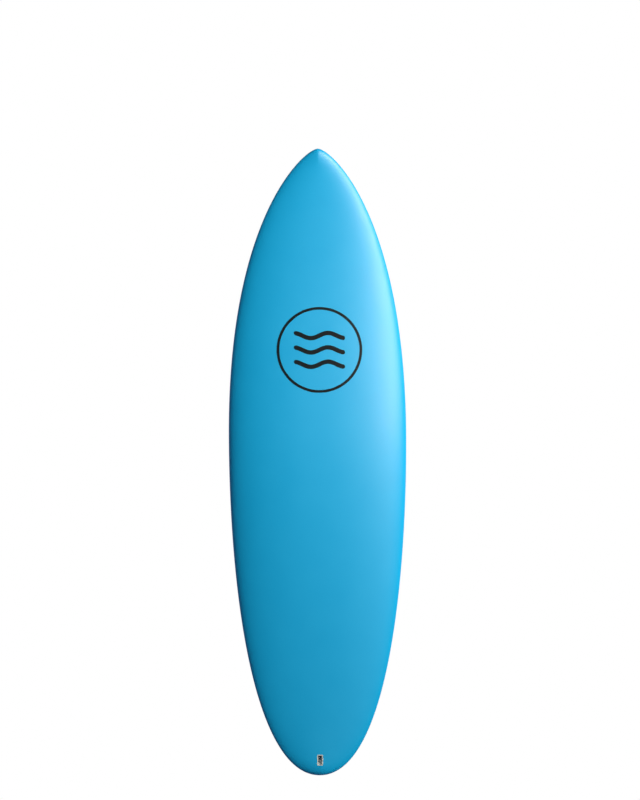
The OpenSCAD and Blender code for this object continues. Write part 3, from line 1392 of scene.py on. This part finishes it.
@dataclass(frozen=True)
class Board:
    """The soft-top board: its two outer skins, and the core and laminates inside them."""

    hull: Hull
    mounts: tuple[FinMount, ...]
    leash: LeashPlug
    deck_foam: float = 5 * MM
    slick_sheet: float = 2 * MM

    def dress_skins(self, foam: Material, slick: Material) -> Object:
        """Builds both skins, cuts the plugs' pockets and gives them their finishes.

        Args:
            foam: The deck's material.
            slick: The bottom's material.

        Returns:
            The deck's skin.
        """
        inner = Layer(self.deck_foam, self.deck_foam, self.slick_sheet)
        deck = Skin(self.hull, Half.DECK, inner).build("deck_foam_skin")
        bottom = Skin(self.hull, Half.BOTTOM, inner).build("bottom_slick_skin")
        combine(deck, [self.leash.pocket()])
        combine(bottom, [mount.pocket(row) for mount in self.mounts for row in Row])
        dress(deck, foam, BOARD, "deck_foam", "deck_skin")
        dress(bottom, slick, BOARD, "slick_bottom", "bottom_skin")
        LOG.info("skins: %d and %d faces", len(deck.data.polygons), len(bottom.data.polygons))
        return deck

    def dress_core(self, nodes: dict[str, Object]) -> None:
        """Gives the core's blocks, the stringers and the laminates their finishes.

        Args:
            nodes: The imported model's nodes by name.
        """
        finishes = {
            "core": BeadFoam().build(),
            "stringer": StringerPly().build(),
            "laminate": GlassLaminate().build(),
        }
        for name, node in nodes.items():
            for word, material in finishes.items():
                if word in name:
                    node.data.materials.clear()
                    node.data.materials.append(material)
                    LOG.info("inside: %s", name)


# ---- The studio ----


@dataclass(frozen=True)
class Softbox:
    """A square area light, aimed at a point of the board."""

    name: str
    place: tuple[float, float, float]
    size: float
    watts: float
    colour: str = "#fffae6"
    glossy: bool = True

    def build(self, aim: Vector) -> None:
        """Makes the light.

        Args:
            aim: The point that it faces.
        """
        data = bpy.data.lights.new(self.name, "AREA")
        data.shape, data.size, data.energy = "SQUARE", self.size, self.watts
        data.color = linear(self.colour)[:3]
        light = bpy.data.objects.new(self.name, data)
        light.location = self.place
        light.rotation_mode = "QUATERNION"
        light.rotation_quaternion = (aim - light.location).to_track_quat("-Z", "Y")
        light.visible_glossy = self.glossy
        bpy.context.scene.collection.objects.link(light)


@dataclass(frozen=True)
class Studio:
    """A glowing floor and dome, two soft lights, and the camera above the deck."""

    lowest: float
    lens: float = 200.0
    camera_height: float = 13.02
    camera_lean_deg: float = 3.0
    camera_roll_deg: float = -0.3
    aim: tuple[float, float, float] = (-0.007, -0.183, 0.04)
    view_end: float = 100.0
    dome_radius: float = 30.0
    floor_gap: float = 25 * MM
    paper: str = "#ffffff"
    paper_glow: float = 1.0
    sky: str = "#bcdaff"
    fill: float = 0.09
    floor_fill: float = 0.65
    floor_fill_below: float = -0.4
    softboxes: tuple[Softbox, ...] = (
        Softbox("key_softbox", (-2.8, -1.3, 2.0), 1.6, 128.0, glossy=False),
        Softbox("deck_softbox", (-1.35, -0.75, 2.0), 0.9, 53.0),
    )

    def paper_material(self) -> Material:
        """Makes the backdrop's paper, which glows evenly and takes no shadow.

        Returns:
            The material.
        """
        values = {
            "Base Color": linear("#000000"),
            "Roughness": 1.0,
            "Specular IOR Level": 0.0,
            "Emission Color": linear(self.paper),
            "Emission Strength": self.paper_glow,
        }
        return Paint("backdrop_paper", values).material

    def backdrop(self) -> None:
        """Makes the floor and the dome. Neither throws light on the board."""
        paper = self.paper_material()
        floor = bmesh.new()
        bmesh.ops.create_circle(floor, cap_ends=True, segments=96, radius=self.dome_radius)
        dome = bmesh.new()
        bmesh.ops.create_uvsphere(dome, u_segments=96, v_segments=48, radius=self.dome_radius)
        bmesh.ops.bisect_plane(
            dome,
            geom=dome.verts[:] + dome.edges[:] + dome.faces[:],
            plane_co=(0, 0, 0),
            plane_no=(0, 0, 1),
            clear_inner=True,
        )
        bmesh.ops.reverse_faces(dome, faces=dome.faces)
        for bm, name in ((floor, "studio_floor"), (dome, "studio_dome")):
            bmesh.ops.translate(bm, verts=bm.verts, vec=(0, 0, self.lowest - self.floor_gap))
            piece = finish_mesh(bm, name)
            piece.data.materials.append(paper)
            piece.visible_diffuse = piece.visible_glossy = piece.visible_shadow = False

    def world(self) -> None:
        """Makes the fill light, stronger from below, where a pale floor throws it back."""
        world = bpy.data.worlds.new("studio_fill")
        world.use_nodes = True
        tree = world.node_tree
        way = add_node(tree, "ShaderNodeTexCoord").outputs["Generated"]
        height = add_node(tree, "ShaderNodeSeparateXYZ", {"Vector": way}).outputs["Z"]
        strength = add_node(
            tree,
            "ShaderNodeMapRange",
            {
                "Value": height,
                "From Min": self.floor_fill_below,
                "From Max": 0.0,
                "To Min": self.floor_fill,
                "To Max": self.fill,
            },
        )
        background = tree.nodes["Background"]
        background.inputs["Color"].default_value = linear(self.sky)
        tree.links.new(strength.outputs["Result"], background.inputs["Strength"])
        bpy.context.scene.world = world

    def camera(self) -> None:
        """Makes the camera, almost straight above the deck, with the nose at the top."""
        aim = Vector(self.aim)
        lean = math.radians(self.camera_lean_deg)
        data = bpy.data.cameras.new("camera")
        data.lens, data.clip_end = self.lens, self.view_end
        camera = bpy.data.objects.new("camera", data)
        back = Vector((math.sin(lean), 0, math.cos(lean)))
        roll = math.radians(self.camera_roll_deg)
        up = Vector((0, -1, 0))
        up.rotate(Matrix.Rotation(roll, 3, back))
        camera.matrix_world = Matrix.Translation(aim + self.camera_height * back) @ Matrix(
            (up.cross(back), up, back)
        ).transposed().to_4x4()
        bpy.context.scene.collection.objects.link(camera)
        bpy.context.scene.camera = camera

    def build(self) -> None:
        """Makes everything round the board."""
        self.backdrop()
        self.world()
        for softbox in self.softboxes:
            softbox.build(Vector((0, 0, 0)))
        self.camera()
        bpy.context.scene.view_settings.view_transform = "Standard"
        LOG.info("studio: floor, dome, %d softboxes and camera", len(self.softboxes))


def main() -> None:
    """Builds the board, its fittings and fins, and the studio round them."""
    logging.basicConfig(level=logging.INFO, format="%(message)s")
    low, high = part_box("deck_skin")
    hull = Hull(length=high.y - low.y, width=high.x - low.x)
    LOG.info("hull: %.1f by %.1f mm", hull.length / MM, hull.width / MM)
    plastic = MouldedPlastic("moulded_nylon_plug", "#b9bec3", "#c9ccd0", 0.42).build()
    cup_plastic = MouldedPlastic("moulded_polycarbonate_cup", "#c9cfd4", "#d3d8dc", 0.4).build()
    fin_nylon = MouldedPlastic(
        "glass_filled_nylon", "#15161a", "#33353a", 0.4, fleck_share=0.5
    ).build()
    screw_steel = TurnedStainless("#9b9ea2", "#c9cbce").build("turned_stainless_screw")
    pin_steel = TurnedStainless("#7a7f85", "#8d9298", 0.35).build("drawn_stainless_pin")

    mounts = tuple(FinMount(hull, side) for side in Side)
    leash = LeashPlug(hull)
    board = Board(hull, mounts, leash)
    deck = board.dress_skins(SoftFoamDeck().build(), SlickSheet().build())
    board.dress_core(frame["nodes"])
    DeckEmblem(hull).dress(deck, ScreenInk().build())
    leash.dress(cup_plastic, pin_steel)
    for mount in mounts:
        mount.dress(plastic, screw_steel)
        Fin(mount).dress(fin_nylon)
    Studio(lowest=CAD_BOX[0].z).build()


if __name__ == "__main__":
    main()
